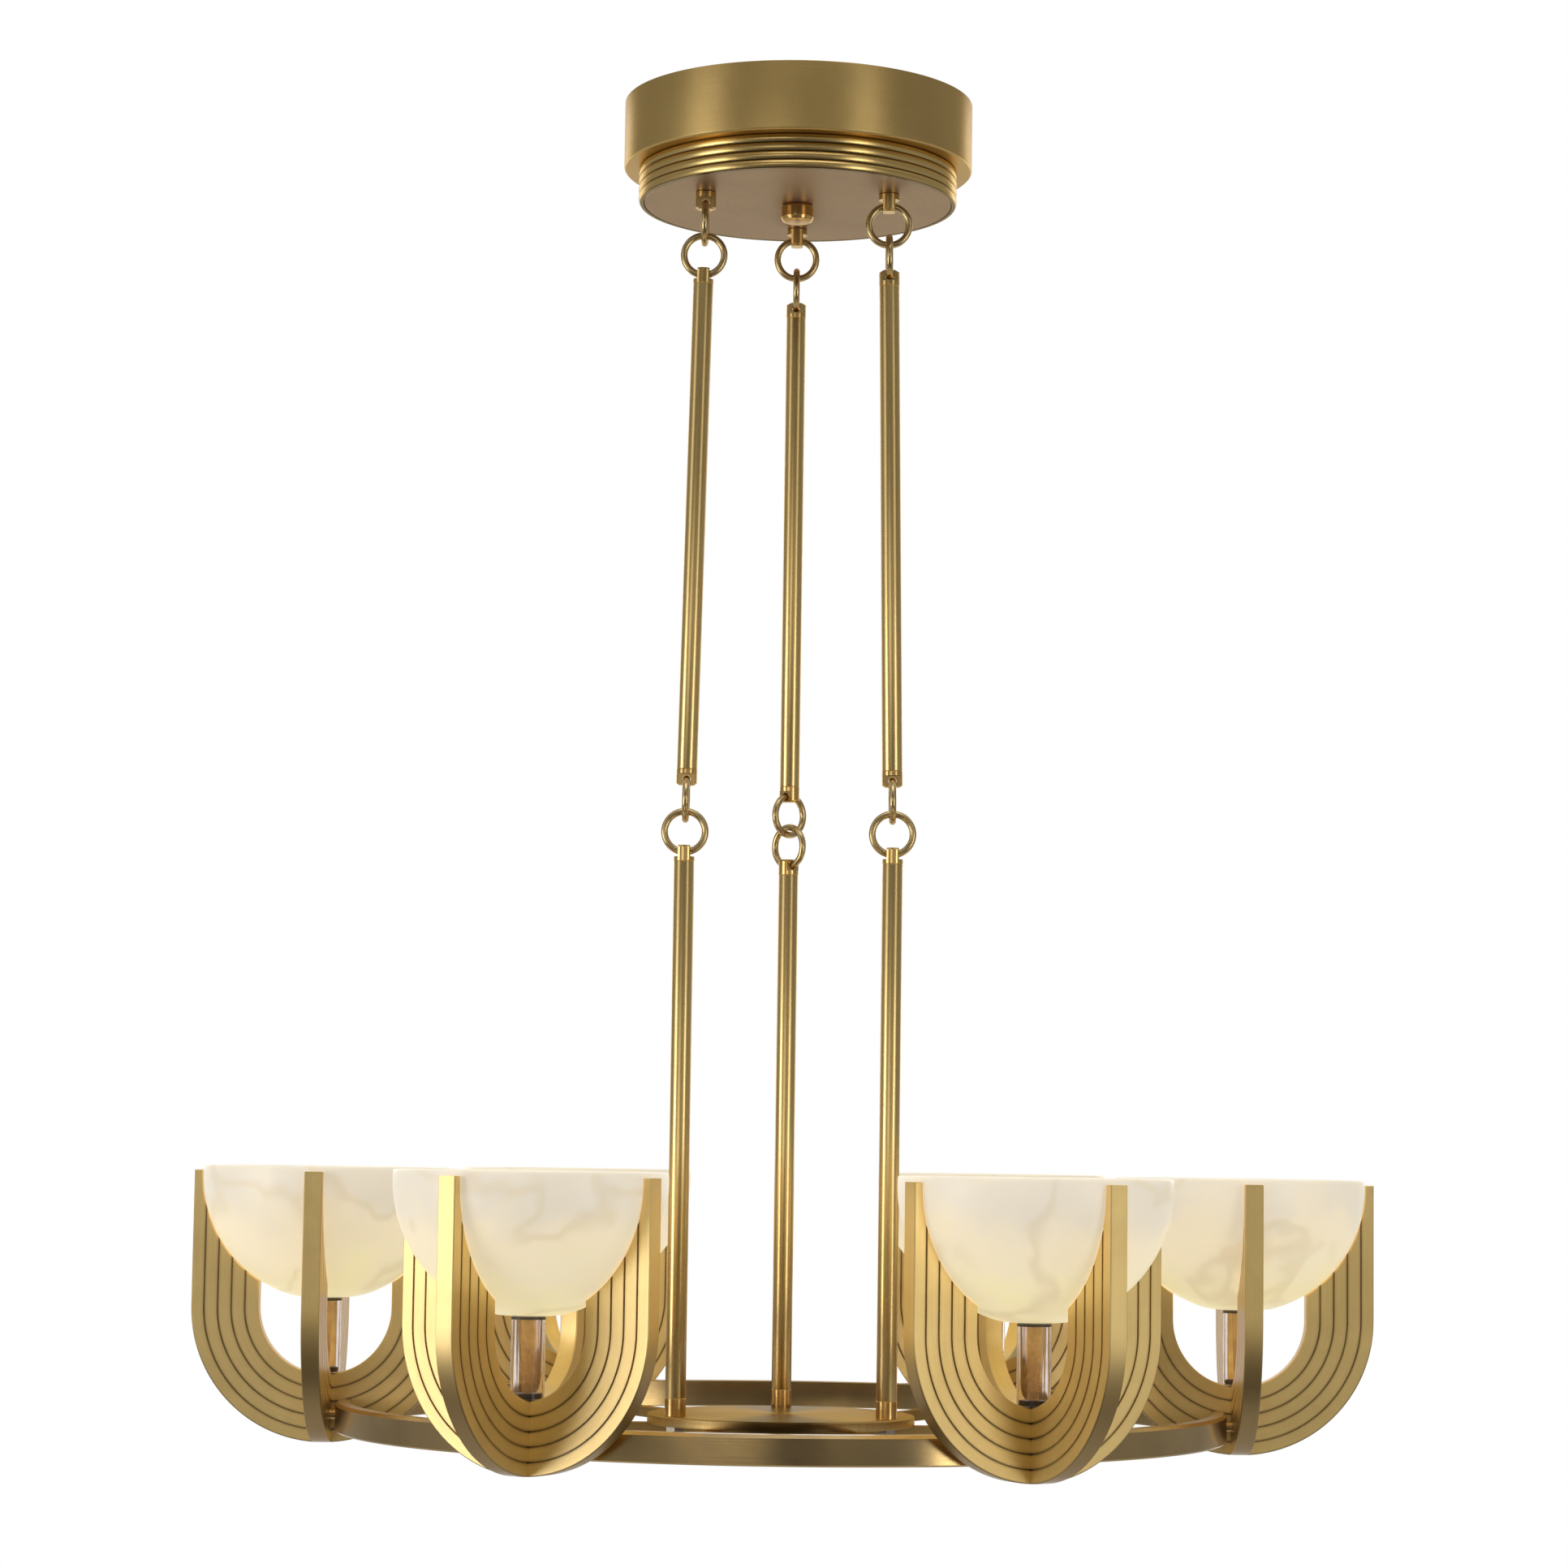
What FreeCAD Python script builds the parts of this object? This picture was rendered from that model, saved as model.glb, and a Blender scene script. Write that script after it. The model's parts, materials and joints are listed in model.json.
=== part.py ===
import FreeCAD, Part
import Sketcher
import math
import os

# Six-light ceiling chandelier. A round stepped canopy carries three
# suspensions; each is a hanger, two linked rings, a rod, two more linked rings
# and a second rod. The three lower rods stand in a hub whose spokes carry six
# lamp units. A unit is two crossed grooved U plates cradling a stone bowl over
# a clear lamp tube. Frame: origin on the ceiling at the canopy's centre, +Z up,
# -Y towards the viewer. Unit numbers count anticlockwise from +X.

V = FreeCAD.Vector
doc = FreeCAD.newDocument("chandelier")
sheet = doc.addObject("Spreadsheet::Sheet", "Params")

# ---------------------------------------------------------------- sizes (mm)
SIZES = [
    ("canopy_r", 139.0), ("canopy_main", 54.0), ("canopy_lip", 118.0), ("bead_foot_r", 125.9), ("bead_high", 1.3), ("bead_back_r", 124.2),
    ("canopy_wall", 1.6), ("base_r", 123.0), ("base_thick", 3.0), ("base_top", -78.0), ("base_under", -81.0),
    ("bracket_r", 105.0), ("bracket_thick", 2.5), ("slot_space", 80.0), ("slot_wide", 5.5), ("slot_long", 18.0),
    ("wire_hole_r", 16.0),
    ("finial_r", 13.0), ("finial_tall", 13.5), ("finial_stem_r", 5.0),
    ("hang_r", 83.5), ("hang_z", -90.0), ("stud_r", 4.0), ("stud_bore_r", 4.05),
    ("nut_flats", 13.0), ("nut_tall", 6.5),
    ("ring_r", 15.8), ("wire_r", 2.7), ("eye_r", 3.2), ("link_gap", 0.3), ("eye_tip", 5.2), ("eye_butt", 7.5),
    ("tab_half", 4.75), ("tab_long", 9.0), ("hanger_top", 9.0),
    ("rod_r", 7.9), ("rod_bore", 6.0), ("end_r", 8.1), ("spigot_r", 5.95), ("spigot_long", 8.0),
    ("hole_space", 398.9), ("hole_space_open", 399.4), ("chain_long", 513.9), ("lower_hole_z", -603.8),
    ("low_r", 93.5), ("foot_tall", 13.8),
    ("hub_r", 104.0), ("hub_top", -1037.6), ("hub_under", -1045.3),
    ("spoke_wide", 12.0), ("spoke_tall", 8.0), ("spoke_start", 36.0), ("boss_r", 35.0),
    ("spoke_screw_at", 62.0), ("spoke_screw_r", 2.5), ("spoke_head_r", 4.5), ("spoke_head_tall", 2.6),
    ("band_out", 345.0), ("band_in", 333.0), ("band_top", -1030.5), ("band_tall", 22.0), ("band_edge", 2.4),
    ("spacer_at", 22.0), ("spacer_r", 4.0), ("spacer_z", -1041.5),
    ("unit_r", 356.0), ("tip_z", -854.7), ("plate_w", 104.2), ("plate_thick", 14.0), ("plate_tall", 209.5),
    ("u_in", 51.8), ("cradle_r", 97.75), ("bowl_r", 97.4), ("bowl_centre", -2.6), ("bowl_rim", 4.0),
    ("bowl_flat", -97.6), ("bowl_wall", 9.0), ("bowl_floor", 11.0),
    ("groove_first", 9.9), ("groove_pitch", 10.6), ("groove_wide", 1.5), ("groove_deep", 1.2), ("edge_cut", 0.7),
    ("lap_z", -183.3), ("lap_play", 0.1),
    ("bolt_r", 3.0), ("bolt_hole_r", 3.1), ("head_r", 5.0), ("head_hole_r", 5.5), ("head_deep", 4.0), ("head_tall", 3.4),
    ("tube_out", 12.25), ("tube_in", 10.75), ("tube_foot", -155.3), ("tube_top", -100.2), ("cap_top", -98.2),
    ("socket_r", 10.6), ("socket_tall", 3.6), ("core_low_r", 3.6), ("core_top_r", 5.5),
    ("block_long", 46.0), ("block_wide", 20.0), ("block_tall", 16.0), ("block_at", 52.0),
]
P = {}


class Q:
    """A size that knows its number and its text for the sheet."""

    def __init__(self, n, e):
        self.n = float(n)
        self.e = e

    def __add__(self, o):
        o = q(o)
        return Q(self.n + o.n, "(%s + %s)" % (self.e, o.e))

    def __radd__(self, o):
        return q(o) + self

    def __sub__(self, o):
        o = q(o)
        return Q(self.n - o.n, "(%s - %s)" % (self.e, o.e))

    def __rsub__(self, o):
        return q(o) - self

    def __mul__(self, o):
        o = q(o)
        return Q(self.n * o.n, "(%s * %s)" % (self.e, o.e))

    def __rmul__(self, o):
        return q(o) * self

    def __truediv__(self, o):
        o = q(o)
        return Q(self.n / o.n, "(%s / %s)" % (self.e, o.e))

    def __neg__(self):
        return Q(-self.n, "(0 - %s)" % self.e)


def q(v):
    if isinstance(v, Q):
        return v
    return Q(v, repr(float(v)) if float(v) >= 0 else "(0 - %r)" % abs(float(v)))


def qsqrt(v):
    return Q(math.sqrt(v.n), "sqrt(%s)" % v.e)


for row, (alias, value) in enumerate(SIZES, start=1):
    sheet.set("A%d" % row, alias)
    sheet.set("B%d" % row, repr(value))
    sheet.setAlias("B%d" % row, alias)
    P[alias] = Q(value, "Params.%s" % alias)
doc.recompute()


def p(name):
    return P[name]


# ---------------------------------------------------------------- helpers
def bind(obj, prop, v):
    v = q(v)
    if "Params." in v.e:
        obj.setExpression(prop, v.e)
    else:
        head, _, tail = prop.partition(".")
        if tail:
            base = obj.Placement.Base
            xyz = {"x": base.x, "y": base.y, "z": base.z}
            xyz[tail[-1]] = v.n
            obj.Placement.Base = V(xyz["x"], xyz["y"], xyz["z"])
        else:
            setattr(obj, prop, v.n)


def put(obj, x=0, y=0, z=0):
    for axis, v in (("x", x), ("y", y), ("z", z)):
        v = q(v)
        if "Params." in v.e:
            obj.setExpression("Placement.Base." + axis, v.e)
        else:
            base = obj.Placement.Base
            xyz = [base.x, base.y, base.z]
            xyz["xyz".index(axis)] = v.n
            obj.Placement.Base = V(*xyz)
    return obj


def cylinder(name, r, length, x=0, y=0, z=0, rot=None):
    o = doc.addObject("Part::Cylinder", name)
    if rot is not None:
        o.Placement = FreeCAD.Placement(V(0, 0, 0), rot)
    bind(o, "Radius", r)
    bind(o, "Height", length)
    return put(o, x, y, z)


def box(name, lx, ly, lz, x=0, y=0, z=0):
    o = doc.addObject("Part::Box", name)
    bind(o, "Length", lx)
    bind(o, "Width", ly)
    bind(o, "Height", lz)
    return put(o, x, y, z)


def hexagon(name, flats, length, x=0, y=0, z=0):
    o = doc.addObject("Part::Prism", name)
    o.Polygon = 6
    bind(o, "Circumradius", flats / 1.7320508)
    bind(o, "Height", length)
    return put(o, x, y, z)


def torus(name, big, small, x=0, y=0, z=0, rot=None):
    o = doc.addObject("Part::Torus", name)
    if rot is not None:
        o.Placement = FreeCAD.Placement(V(0, 0, 0), rot)
    bind(o, "Radius1", big)
    bind(o, "Radius2", small)
    return put(o, x, y, z)


def cut(name, base, *tools):
    tool = tools[0]
    if len(tools) > 1:
        tool = doc.addObject("Part::MultiFuse", name + "_tools")
        tool.Shapes = list(tools)
    o = doc.addObject("Part::Cut", name)
    o.Base = base
    o.Tool = tool
    return o


def fuse(name, *shapes):
    o = doc.addObject("Part::MultiFuse", name)
    o.Shapes = list(shapes)
    return o


def place(name, source, placement):
    """A copy of a master piece, at its own placement."""
    o = doc.addObject("Part::Compound", name)
    o.Links = [source]
    o.Placement = placement
    return o


def group(name, members):
    """Several separate solids that share one node."""
    o = doc.addObject("Part::Compound", name)
    o.Links = members
    return o


def polar(name, source, angles, radius=None, z=None):
    """The master repeated round the Z axis."""
    members = []
    for i, a in enumerate(angles):
        pl = FreeCAD.Placement(V(0, 0, 0), FreeCAD.Rotation(V(0, 0, 1), a))
        if radius is not None or z is not None:
            rr = 0.0 if radius is None else q(radius).n
            zz = 0.0 if z is None else q(z).n
            pl = FreeCAD.Placement(V(rr * math.cos(math.radians(a)), rr * math.sin(math.radians(a)), zz), FreeCAD.Rotation(V(0, 0, 1), a))
        members.append(place("%s_%d" % (name, i + 1), source, pl))
    return members


def origin_plane(body, role):
    for f in body.Origin.OriginFeatures:
        if f.Role == role:
            return f
    raise RuntimeError(role)


def new_sketch(body, name, role, offset=None):
    sk = body.newObject("Sketcher::SketchObject", name)
    sk.AttachmentSupport = [(origin_plane(body, role), "")]
    sk.MapMode = "FlatFace"
    if offset is not None:
        sk.AttachmentOffset = FreeCAD.Placement(V(0, 0, q(offset).n), FreeCAD.Rotation())
        if "Params." in q(offset).e:
            sk.setExpression("AttachmentOffset.Base.z", q(offset).e)
    return sk


def fix_point(sk, geo, pos, x, y):
    for kind, v in (("DistanceX", q(x)), ("DistanceY", q(y))):
        if abs(v.n) < 1e-9:
            # on an axis
            sk.addConstraint(Sketcher.Constraint("PointOnObject", geo, pos, -2 if kind == "DistanceX" else -1))
            continue
        c = sk.addConstraint(Sketcher.Constraint(kind, -1, 1, geo, pos, v.n))
        if "Params." in v.e:
            sk.setExpression("Constraints[%d]" % c, v.e)


def polygon(sk, pts):
    """A closed straight-sided outline through the points."""
    n = len(pts)
    first = sk.GeometryCount
    for i in range(n):
        a, b = pts[i], pts[(i + 1) % n]
        sk.addGeometry(Part.LineSegment(V(q(a[0]).n, q(a[1]).n, 0), V(q(b[0]).n, q(b[1]).n, 0)), False)
    for i in range(n):
        sk.addConstraint(Sketcher.Constraint("Coincident", first + i, 2, first + (i + 1) % n, 1))
    for i in range(n):
        fix_point(sk, first + i, 1, pts[i][0], pts[i][1])


def outline(sk, items):
    """A closed outline of lines and arcs. Each item is ("line", p0) or
    ("arc", p0, centre, radius, ccw), and runs to the next item's p0."""
    n = len(items)
    first = sk.GeometryCount
    for i, it in enumerate(items):
        a = [q(c).n for c in it[1]]
        b = [q(c).n for c in items[(i + 1) % n][1]]
        if it[0] == "line":
            sk.addGeometry(Part.LineSegment(V(a[0], a[1], 0), V(b[0], b[1], 0)), False)
        else:
            c = [q(v).n for v in it[2]]
            r = q(it[3]).n
            ta = math.atan2(a[1] - c[1], a[0] - c[0])
            tb = math.atan2(b[1] - c[1], b[0] - c[0])
            circle = Part.Circle(V(c[0], c[1], 0), V(0, 0, 1), r)
            if it[4]:
                sk.addGeometry(Part.ArcOfCircle(circle, ta, tb if tb > ta else tb + 2 * math.pi), False)
            else:
                sk.addGeometry(Part.ArcOfCircle(circle, tb, ta if ta > tb else ta + 2 * math.pi), False)
    def ends(i):
        it = items[i]
        if it[0] == "line" or it[4]:
            return 1, 2
        return 2, 1
    for i in range(n):
        j = (i + 1) % n
        sk.addConstraint(Sketcher.Constraint("Coincident", first + i, ends(i)[1], first + j, ends(j)[0]))
    for i, it in enumerate(items):
        fix_point(sk, first + i, ends(i)[0], it[1][0], it[1][1])
        if it[0] == "arc":
            # both ends are fixed, so one coordinate of the centre settles the arc:
            # its height, or how far out it is where the ends stand one over the other
            nxt = items[(i + 1) % n][1]
            upright = abs(q(nxt[0]).n - q(it[1][0]).n) < 1e-6
            kind, cv = ("DistanceX", q(it[2][0])) if upright else ("DistanceY", q(it[2][1]))
            c = sk.addConstraint(Sketcher.Constraint(kind, -1, 1, first + i, 3, cv.n))
            if "Params." in cv.e:
                sk.setExpression("Constraints[%d]" % c, cv.e)


def new_body(name):
    return doc.addObject("PartDesign::Body", name)


def pad(body, name, sk, length, mid=False, reverse=False):
    f = body.newObject("PartDesign::Pad", name)
    f.Profile = sk
    f.Type = 0
    f.Midplane = mid
    f.Reversed = reverse
    bind(f, "Length", length)
    body.Tip = f
    doc.recompute()
    return f


def pocket(body, name, sk, length, mid=False, reverse=False):
    before = body.Shape.Volume
    f = body.newObject("PartDesign::Pocket", name)
    f.Profile = sk
    f.Type = 0
    f.Midplane = mid
    f.Reversed = reverse
    bind(f, "Length", length)
    body.Tip = f
    doc.recompute()
    if body.Shape.Volume > before - 1.0:
        f.Reversed = not reverse
        doc.recompute()
    if body.Shape.Volume > before - 1.0:
        raise RuntimeError("%s cuts nothing" % name)
    return f


def revolve(body, name, sk):
    f = body.newObject("PartDesign::Revolution", name)
    f.Profile = sk
    f.ReferenceAxis = (sk, ["V_Axis"])
    f.Angle = 360.0
    body.Tip = f
    doc.recompute()
    return f


def turned(name, pts):
    """A turned piece: the outline in the XZ plane, spun round Z."""
    b = new_body(name)
    sk = new_sketch(b, name + "_profile", "XZ_Plane")
    polygon(sk, pts)
    revolve(b, name + "_turn", sk)
    return b


NODES = {}


def node(name, obj):
    """Every sub-part carries its own label, which names its file."""
    obj.Label = name
    NODES[name] = obj
    return obj


THIRDS = (90.0, 210.0, 330.0)
SIXTHS = (0.0, 60.0, 120.0, 180.0, 240.0, 300.0)
ZAX = V(0, 0, 1)
XAX = V(1, 0, 0)
YAX = V(0, 1, 0)

# ---------------------------------------------------------------- canopy
# the drum ends in a flat ledge; a narrower ring of four rounded beads hangs under it
cr, cw, cm = p("canopy_r"), p("canopy_wall"), p("canopy_main")
soft = q(1.4)
node("canopy_shell", turned("CanopyShell", [(cr, q(0)), (cr, -cm + soft), (cr - soft, -cm), (p("canopy_lip"), -cm), (p("canopy_lip"), -cm + cw),
                                            (cr - cw, -cm + cw), (cr - cw, q(0))]))
seat = p("base_r") + 0.2
bead_r, bead_high, bead_back = p("bead_foot_r"), p("bead_high"), p("bead_back_r")
bead_tall = (-cm - p("base_under")) / 4
half_bead = bead_tall / 2
bead_round = (half_bead * half_bead + bead_high * bead_high) / (bead_high * 2)
ring_items = []
for k in range(4):
    z0 = -cm - bead_tall * k
    ring_items.append(("arc", (bead_r, z0), (bead_r + bead_high - bead_round, z0 - half_bead), bead_round, False))
ring_items += [("line", (bead_r, p("base_under"))), ("line", (seat, p("base_under"))), ("line", (seat, p("base_top") + 0.05)),
               ("line", (seat - 6.0, p("base_top") + 0.05)), ("line", (seat - 6.0, p("base_top") + cw)), ("line", (bead_back, p("base_top") + cw)),
               ("line", (bead_back, -cm))]
beads = new_body("CanopyBeads")
bead_sketch = new_sketch(beads, "CanopyBeads_profile", "XZ_Plane")
outline(bead_sketch, ring_items)
revolve(beads, "CanopyBeads_turn", bead_sketch)
node("canopy_beads", beads)

base = turned("BaseDisc", [(p("finial_stem_r") + 0.1, p("base_under")), (p("base_r") - 0.8, p("base_under")), (p("base_r"), p("base_under") + 0.8),
                           (p("base_r"), p("base_top")), (p("finial_stem_r") + 0.1, p("base_top"))])
stud_holes = [cylinder("BaseHole%d" % i, p("stud_bore_r"), p("base_thick") + 4, p("hang_r") * math.cos(math.radians(a)),
                       p("hang_r") * math.sin(math.radians(a)), p("base_under") - 2) for i, a in enumerate(THIRDS)]
node("canopy_base_plate", cut("CanopyBasePlate", base, *stud_holes))

disc = cylinder("BracketDisc", p("bracket_r"), p("bracket_thick"), z=-p("bracket_thick"))
tools = [cylinder("BracketWireHole", p("wire_hole_r"), p("bracket_thick") + 4, z=-p("bracket_thick") - 2)]
for i, a in enumerate(THIRDS):
    tools.append(cylinder("BracketHole%d" % i, p("stud_bore_r"), p("bracket_thick") + 4, p("hang_r") * math.cos(math.radians(a)),
                          p("hang_r") * math.sin(math.radians(a)), -p("bracket_thick") - 2))
for side, name in ((-1, "Left"), (1, "Right")):
    x0 = p("slot_space") / 2 * side
    half = (p("slot_long") - p("slot_wide")) / 2
    tools.append(box("Slot" + name, half * 2, p("slot_wide"), p("bracket_thick") + 4, x0 - half, -p("slot_wide") / 2, -p("bracket_thick") - 2))
    tools.append(cylinder("SlotEndA" + name, p("slot_wide") / 2, p("bracket_thick") + 4, x0 - half, 0, -p("bracket_thick") - 2))
    tools.append(cylinder("SlotEndB" + name, p("slot_wide") / 2, p("bracket_thick") + 4, x0 + half, 0, -p("bracket_thick") - 2))
node("ceiling_bracket", cut("CeilingBracket", disc, *tools))

stud_low = p("hang_z") + 4.6
stud = cylinder("StudMaster", p("stud_r"), -0.3 - stud_low, z=stud_low)
node("suspension_studs", group("SuspensionStuds", polar("Stud", stud, THIRDS, p("hang_r"))))
nut_low = cut("NutLow", hexagon("NutLowHex", p("nut_flats"), p("nut_tall"), z=p("base_top")),
              cylinder("NutLowBore", p("stud_bore_r"), p("nut_tall") + 4, z=p("base_top") - 2))
nut_up = cut("NutUp", hexagon("NutUpHex", p("nut_flats"), p("nut_tall"), z=-p("bracket_thick") - p("nut_tall")),
             cylinder("NutUpBore", p("stud_bore_r"), p("nut_tall") + 4, z=-p("bracket_thick") - p("nut_tall") - 2))
node("stud_nuts", group("StudNuts", polar("NutLower", nut_low, THIRDS, p("hang_r")) + polar("NutUpper", nut_up, THIRDS, p("hang_r"))))

fr, ft, fs = p("finial_r"), p("finial_tall"), p("finial_stem_r")
node("center_finial", turned("CenterFinial", [(q(0), p("base_under") - ft), (fr - 3.2, p("base_under") - ft), (fr - 0.9, p("base_under") - ft + 1.2),
                                              (fr, p("base_under") - ft + 3.4), (fr, p("base_under") - 1.6), (fr - 1.4, p("base_under")),
                                              (fs, p("base_under")), (fs, p("base_top") + 7), (q(0), p("base_top") + 7)]))
node("finial_nut", cut("FinialNut", hexagon("FinialNutHex", q(16), q(5), z=p("base_top")), cylinder("FinialNutBore", fs + 0.05, q(9), z=p("base_top") - 2)))

blk = box("BlockBox", p("block_long"), p("block_wide"), p("block_tall"), -p("block_long") / 2, -p("block_at") - p("block_wide") / 2, p("base_top"))
ways = []
for i in range(3):
    rot = FreeCAD.Rotation(XAX, -90)
    ways.append(cylinder("BlockWay%d" % i, q(2.4), p("block_wide") + 4, -p("block_long") / 3 + p("block_long") / 3 * i,
                         -p("block_at") - p("block_wide") / 2 - 2, p("base_top") + 6.5, rot))
node("terminal_block", cut("TerminalBlock", blk, *ways))

# ---------------------------------------------------------------- suspension
# Each chain leans outwards by a small angle from its hanger to the top eye of
# its lower rod. Distances along a chain are counted from the hanger's eye.
lean = math.degrees(math.asin((P["low_r"].n - P["hang_r"].n) / P["chain_long"].n))
RR, GAP = P["ring_r"].n, P["link_gap"].n
PITCH = 2 * P["wire_r"].n + GAP
S_A = RR
S_B = 2 * RR - PITCH + RR
S_TOP = 2 * RR - PITCH + 2 * RR
HOLES = {"right": P["hole_space"].n, "left": P["hole_space_open"].n, "back": P["hole_space_open"].n}
AZ = {"right": 330.0, "left": 210.0, "back": 90.0}
S_D = P["chain_long"].n - RR


def chain_place(side, dist, turn=0.0, flip=False):
    """Placement at a distance down a chain; turn is about the chain's own line."""
    a = math.radians(AZ[side])
    out = V(math.cos(a), math.sin(a), 0)
    start = V(P["hang_r"].n * out.x, P["hang_r"].n * out.y, P["hang_z"].n)
    hinge = V(-out.y, out.x, 0)
    tilt = FreeCAD.Rotation(hinge, -lean)
    down = tilt.multVec(V(0, 0, -1))
    rot = tilt.multiply(FreeCAD.Rotation(ZAX, turn))
    if flip:
        rot = rot.multiply(FreeCAD.Rotation(XAX, 180))
    return FreeCAD.Placement(start + down * dist, rot)


# a ring lies in the local XZ plane, so its top and bottom wires run along X
ring = torus("RingMaster", p("ring_r"), p("wire_r"), rot=FreeCAD.Rotation(XAX, 90))
ring_master = group("RingFacing", [ring])

# eye end: origin at the eye, ring above it, butt below it, eye along X
eb, et, er_ = p("eye_butt"), p("eye_tip"), p("end_r")
eye_body = turned("EyeEndTurned", [(q(0), -eb - p("spigot_long")), (p("spigot_r"), -eb - p("spigot_long")), (p("spigot_r"), -eb), (er_ - 0.5, -eb), (er_, -eb + 0.5),
                                   (er_, et - 1.6), (er_ - 2.4, et), (q(0), et)])
flat_a = box("EyeFlatA", q(10), q(24), p("tab_long") + 2, p("tab_half"), -12, et - p("tab_long"))
flat_b = box("EyeFlatB", q(10), q(24), p("tab_long") + 2, -p("tab_half") - 10, -12, et - p("tab_long"))
eye_hole = torus("EyeHole", p("ring_r"), p("eye_r"), z=p("ring_r"), rot=FreeCAD.Rotation(XAX, 90))
eye_end = cut("EyeEnd", eye_body, flat_a, flat_b, eye_hole)

# hanger: same eye, turned over, screwed up onto the stud
ht = p("hanger_top")
hang_body = turned("HangerTurned", [(q(0), -et), (er_ - 2.4, -et), (er_, -et + 1.6), (er_, ht - 0.5), (er_ - 0.5, ht), (p("stud_bore_r"), ht),
                                    (p("stud_bore_r"), q(4.5)), (q(0), q(4.5))])
hflat_a = box("HangFlatA", q(10), q(24), q(11.5), p("tab_half"), -12, -et - 2)
hflat_b = box("HangFlatB", q(10), q(24), q(11.5), -p("tab_half") - 10, -12, -et - 2)
hang_hole = torus("HangHole", p("ring_r"), p("eye_r"), z=-p("ring_r"), rot=FreeCAD.Rotation(XAX, 90))
hanger = cut("Hanger", hang_body, hflat_a, hflat_b, hang_hole)

# turn of each ring about its chain: 0 faces the viewer, 90 is edge on
TOP_TURN = {"left": (90.0, 0.0), "right": (0.0, 90.0), "back": (0.0, 90.0)}
MID_TURN = {"left": (90.0, 0.0), "right": (90.0, 0.0), "back": (45.0, -45.0)}


def hanger_place(side):
    a = math.radians(AZ[side])
    return FreeCAD.Placement(V(P["hang_r"].n * math.cos(a), P["hang_r"].n * math.sin(a), P["hang_z"].n), FreeCAD.Rotation(ZAX, TOP_TURN[side][0]))


node("hangers", group("Hangers", [place("Hanger_" + s_, hanger, hanger_place(s_)) for s_ in ("left", "right", "back")]))
node("upper_rings", group("UpperRings", [place("UpperRing_" + s_, ring_master, chain_place(s_, S_A, TOP_TURN[s_][0])) for s_ in ("left", "right", "back")]))

for s_ in ("left", "right", "back"):
    node("link_ring_" + s_, place("LinkRing_" + s_, ring_master, chain_place(s_, S_B, TOP_TURN[s_][1])))
    gap = HOLES[s_]
    ends = [place("UpperEndTop_" + s_, eye_end, chain_place(s_, S_TOP, TOP_TURN[s_][1])),
            place("UpperEndLow_" + s_, eye_end, chain_place(s_, S_TOP + gap, MID_TURN[s_][0], True))]
    node("upper_rod_ends_" + s_, group("UpperRodEnds_" + s_, ends))
    # the tube between the two ends, along the chain's line
    tube_len = gap - 2 * P["eye_butt"].n
    holes = p("hole_space") if s_ == "right" else p("hole_space_open")
    tube = cut("UpperTube_" + s_, cylinder("UpperTubeOut_" + s_, p("rod_r"), holes - p("eye_butt") * 2),
               cylinder("UpperTubeIn_" + s_, p("rod_bore"), holes - p("eye_butt") * 2 + 4, z=-2))
    node("upper_rod_" + s_, place("UpperRod_" + s_, tube, chain_place(s_, S_TOP + P["eye_butt"].n + tube_len)))
    node("middle_ring_" + s_, place("MiddleRing_" + s_, ring_master, chain_place(s_, S_TOP + gap + RR, MID_TURN[s_][0])))

node("lower_rings", group("LowerRings", [place("LowerRing_" + s_, ring_master, chain_place(s_, S_D, MID_TURN[s_][1])) for s_ in ("left", "right", "back")]))

# ---------------------------------------------------------------- lower rods
lz = p("lower_hole_z")
foot = p("foot_tall")
low_tube = cut("LowTube", cylinder("LowTubeOut", p("rod_r"), lz - eb - (p("hub_top") + foot), z=p("hub_top") + foot),
               cylinder("LowTubeIn", p("rod_bore"), lz - eb - (p("hub_top") + foot) + 4, z=p("hub_top") + foot - 2))
node("lower_rods", group("LowerRods", polar("LowRod", low_tube, THIRDS, p("low_r"))))
low_ends = []
for s_ in ("left", "right", "back"):
    a = math.radians(AZ[s_])
    pl = FreeCAD.Placement(V(P["low_r"].n * math.cos(a), P["low_r"].n * math.sin(a), P["lower_hole_z"].n), FreeCAD.Rotation(ZAX, MID_TURN[s_][1]))
    low_ends.append(place("LowEnd_" + s_, eye_end, pl))
node("lower_rod_ends", group("LowerRodEnds", low_ends))
foot_body = turned("FootMaster", [(p("stud_bore_r"), p("hub_top")), (er_, p("hub_top")), (er_, p("hub_top") + foot - 0.5), (er_ - 0.5, p("hub_top") + foot),
                                  (p("spigot_r"), p("hub_top") + foot), (p("spigot_r"), p("hub_top") + foot + 6), (q(0), p("hub_top") + foot + 6),
                                  (q(0), p("hub_top") + foot - 3), (p("stud_bore_r"), p("hub_top") + foot - 3)])
node("lower_rod_feet", group("LowerRodFeet", polar("LowFoot", foot_body, THIRDS, p("low_r"))))
foot_stud = cylinder("FootStud", p("stud_r"), p("hub_top") + foot - 3.2 - (p("hub_under") - 8), z=p("hub_under") - 8)
node("foot_studs", group("FootStuds", polar("FootStudAt", foot_stud, THIRDS, p("low_r"))))
foot_nut = cut("FootNut", hexagon("FootNutHex", p("nut_flats"), p("nut_tall"), z=p("hub_under") - p("nut_tall")),
               cylinder("FootNutBore", p("stud_bore_r"), p("nut_tall") + 4, z=p("hub_under") - p("nut_tall") - 2))
node("foot_nuts", group("FootNuts", polar("FootNutAt", foot_nut, THIRDS, p("low_r"))))

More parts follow.
